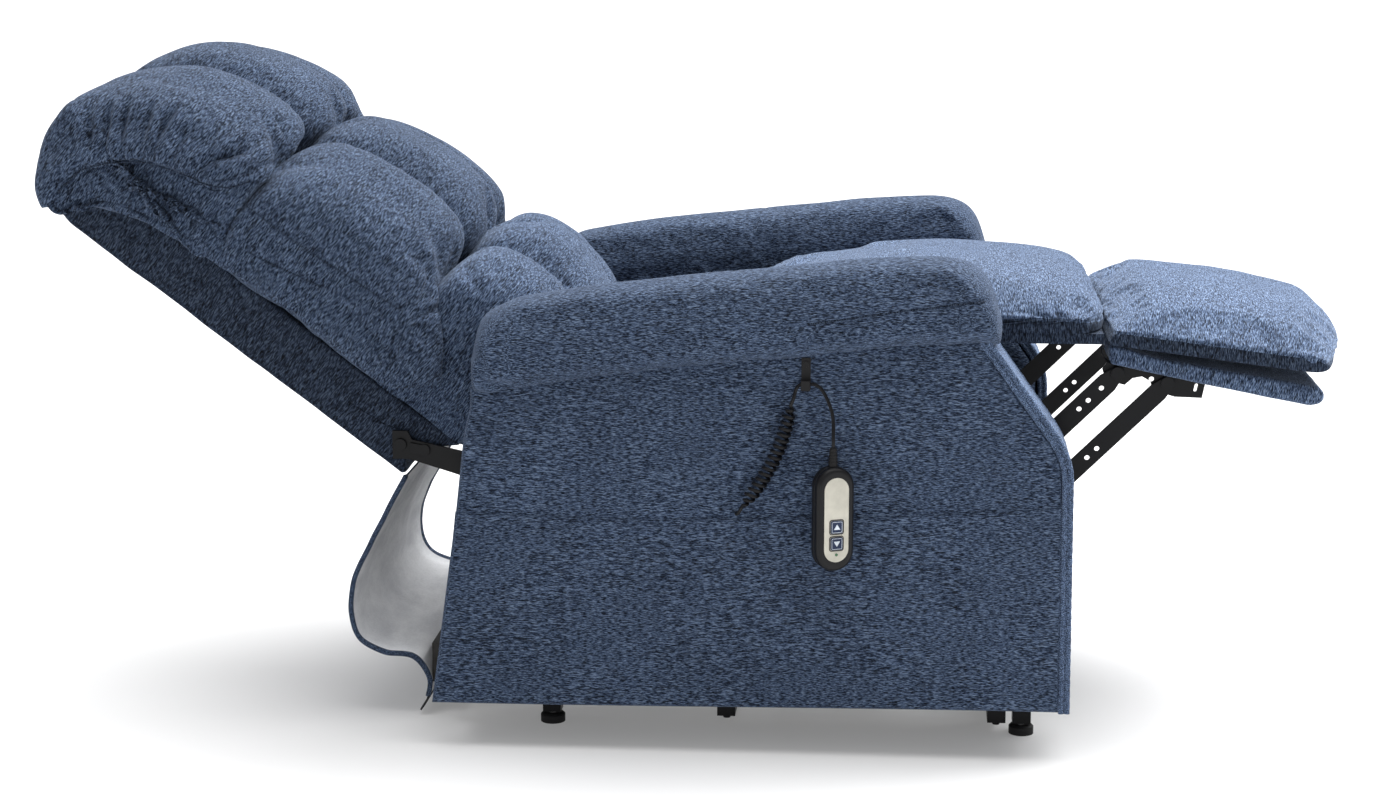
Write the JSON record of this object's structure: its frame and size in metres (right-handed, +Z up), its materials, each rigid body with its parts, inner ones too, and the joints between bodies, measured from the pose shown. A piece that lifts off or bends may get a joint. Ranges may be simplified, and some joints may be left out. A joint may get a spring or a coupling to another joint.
{
  "type": "power lift recliner chair",
  "caption": "Upholstered power lift recliner, laid back with its footrest out, on a low lifting base with a handset on a curly lead.",
  "frame": {"origin": "on the floor, under the middle of the open chair's bounding box", "axes": "+X forward, from head to feet; +Y to the sitter's left; +Z up"},
  "size_m": [1.7795, 0.8642, 0.9119],
  "materials": {
    "frame_steel": "satin black powder coat",
    "pin_steel": "zinc plated",
    "spring_steel": "oiled",
    "rod_steel": "polished",
    "foot_rubber": "matte",
    "black_plastic": "fine texture",
    "handset_plastic": "smooth",
    "face_ivory": "smooth",
    "button_blue": "smooth",
    "lamp": "clear",
    "lead": "satin",
    "timber": "raw",
    "batten": "raw",
    "blue_cloth": "blue chenille weave",
    "dark_cloth": "blue chenille weave",
    "lining": "white lining outside blue cloth",
    "webbing": "black webbing"
  },
  "bodies": {
    "base": {"base_frame": "frame_steel", "foot_pads": "foot_rubber", "foot_studs": "pin_steel", "tube_caps": "black_plastic", "base_pins": "pin_steel"},
    "rear_arms": {"rear_lift_arms": "frame_steel"},
    "front_arms": {"front_lift_arms": "frame_steel", "front_lift_pins": "pin_steel"},
    "actuator": {"actuator_housing": "black_plastic", "actuator_motor": "black_plastic"},
    "rod": {"actuator_rod": "rod_steel"},
    "carriage": {"carriage_frame": "frame_steel", "carriage_pins": "pin_steel", "rear_batten": "batten", "control_box": "black_plastic", "arm_frame_right": "timber", "arm_frame_left": "timber", "arm_panel_right": "dark_cloth", "arm_panel_left": "dark_cloth", "arm_roll_right": "blue_cloth", "arm_roll_left": "blue_cloth", "arm_border_right": "blue_cloth", "arm_border_left": "blue_cloth", "side_pockets": "dark_cloth", "cord_clip": "black_plastic", "rear_flap": "lining", "flap_tab": "webbing", "handset_lead": "lead", "curly_lead": "lead"},
    "seat": {"seat_frame": "frame_steel", "guide_pins": "pin_steel", "seat_springs": "spring_steel", "seat_platform": "dark_cloth", "rear_deck": "blue_cloth", "seat_cushion": "blue_cloth"},
    "cranks": {"footrest_cranks": "frame_steel", "crank_pins": "frame_steel"},
    "front_linkage": {"front_links": "frame_steel"},
    "rear_linkage": {"rear_links": "frame_steel"},
    "footrest": {"footrest_brackets": "frame_steel", "bracket_rivets": "frame_steel", "footrest_board": "blue_cloth", "footrest_straps": "webbing", "footrest_pad": "blue_cloth"},
    "back": {"back_frame": "timber", "back_shell": "dark_cloth", "back_bars": "frame_steel", "bracket_bolts": "frame_steel", "lumbar_pillow": "blue_cloth", "middle_pillow": "blue_cloth", "head_pillow": "blue_cloth"},
    "lever_right": {"release_lever_right": "frame_steel"},
    "lever_left": {"release_lever_left": "frame_steel"},
    "handset": {"handset_rear_shell": "handset_plastic", "handset_front_shell": "handset_plastic", "handset_face": "face_ivory", "indicator_light": "lamp", "strain_relief": "handset_plastic"},
    "up": {"button_up": "button_blue"},
    "down": {"button_down": "button_blue"}
  },
  "joints": [
    {"name": "lift", "type": "hinge", "parent": "base", "child": "rear_arms", "pos_m": [0.385, 0, 0.058], "axis": [0, 1, 0], "range_deg": [0, 32.72]},
    {"name": "carriage_tilt", "type": "hinge", "parent": "rear_arms", "child": "carriage", "pos_m": [-0.24, 0, 0.1], "axis": [0, 1, 0], "range_deg": [-7.8, 0.05]},
    {"name": "front_arm_turn", "type": "hinge", "parent": "base", "child": "front_arms", "pos_m": [0.415, 0, 0.058], "axis": [0, 1, 0], "range_deg": [-0.05, 38.1]},
    {"name": "actuator_turn", "type": "hinge", "parent": "base", "child": "actuator", "pos_m": [0.04, 0, 0.062], "axis": [0, 1, 0], "range_deg": [-0.05, 6]},
    {"name": "actuator_stroke", "type": "slide", "parent": "actuator", "child": "rod", "axis": [0.8641, 0, 0.5033], "range_m": [-0.0001, 0.0948]},
    {"name": "recline", "type": "hinge", "parent": "carriage", "child": "back", "pos_m": [-0.165, 0, 0.395], "axis": [0, 1, 0], "range_deg": [0, 40]},
    {"name": "seat_slide", "type": "slide", "parent": "carriage", "child": "seat", "axis": [-0.9487, 0, -0.3162], "range_m": [-0.0001, 0.0631]},
    {"name": "footrest_fold", "type": "hinge", "parent": "seat", "child": "cranks", "pos_m": [0.32645, 0, 0.38656], "axis": [0, 1, 0], "range_deg": [0, 79]},
    {"name": "front_link_turn", "type": "hinge", "parent": "cranks", "child": "front_linkage", "pos_m": [0.45789, 0, 0.32077], "axis": [0, 1, 0], "range_deg": [-84.1, 0.1]},
    {"name": "rear_link_turn", "type": "hinge", "parent": "cranks", "child": "rear_linkage", "pos_m": [0.39099, 0, 0.333], "axis": [0, 1, 0], "range_deg": [-84.1, 0.1]},
    {"name": "footrest_tilt", "type": "hinge", "parent": "front_linkage", "child": "footrest", "pos_m": [0.62406, 0, 0.48694], "axis": [0, 1, 0], "range_deg": [-0.1, 84.1]},
    {"name": "release_right", "type": "hinge", "parent": "back", "child": "lever_right", "pos_m": [-0.391, 0, 0.386], "axis": [0, 1, 0], "range_deg": [0, 35]},
    {"name": "release_left", "type": "hinge", "parent": "back", "child": "lever_left", "pos_m": [-0.391, 0, 0.386], "axis": [0, 1, 0], "range_deg": [0, 35]},
    {"name": "handset_swing", "type": "hinge", "parent": "carriage", "child": "handset", "pos_m": [0.183, -0.418, 0.427], "axis": [0, 1, 0], "range_deg": [-20, 20]},
    {"name": "press_up", "type": "slide", "parent": "handset", "child": "up", "axis": [-0.4067, 0.9135, 0], "range_m": [0, 0.0012], "stiffness_N_per_m": 800},
    {"name": "press_down", "type": "slide", "parent": "handset", "child": "down", "axis": [-0.4067, 0.9135, 0], "range_m": [0, 0.0012], "stiffness_N_per_m": 800}
  ],
  "couplings": [
    {"joint": "carriage_tilt", "follows": "lift", "ratio": -0.23583},
    {"joint": "front_arm_turn", "follows": "lift", "ratio": 1.1633},
    {"joint": "actuator_turn", "follows": "lift", "ratio": 0.18036},
    {"joint": "actuator_stroke", "follows": "lift", "m_per_rad": 0.16575},
    {"joint": "seat_slide", "follows": "recline", "m_per_rad": 0.090241},
    {"joint": "front_link_turn", "follows": "footrest_fold", "ratio": -1.0633},
    {"joint": "rear_link_turn", "follows": "footrest_fold", "ratio": -1.0633},
    {"joint": "footrest_tilt", "follows": "footrest_fold", "ratio": 1.0633}
  ]
}
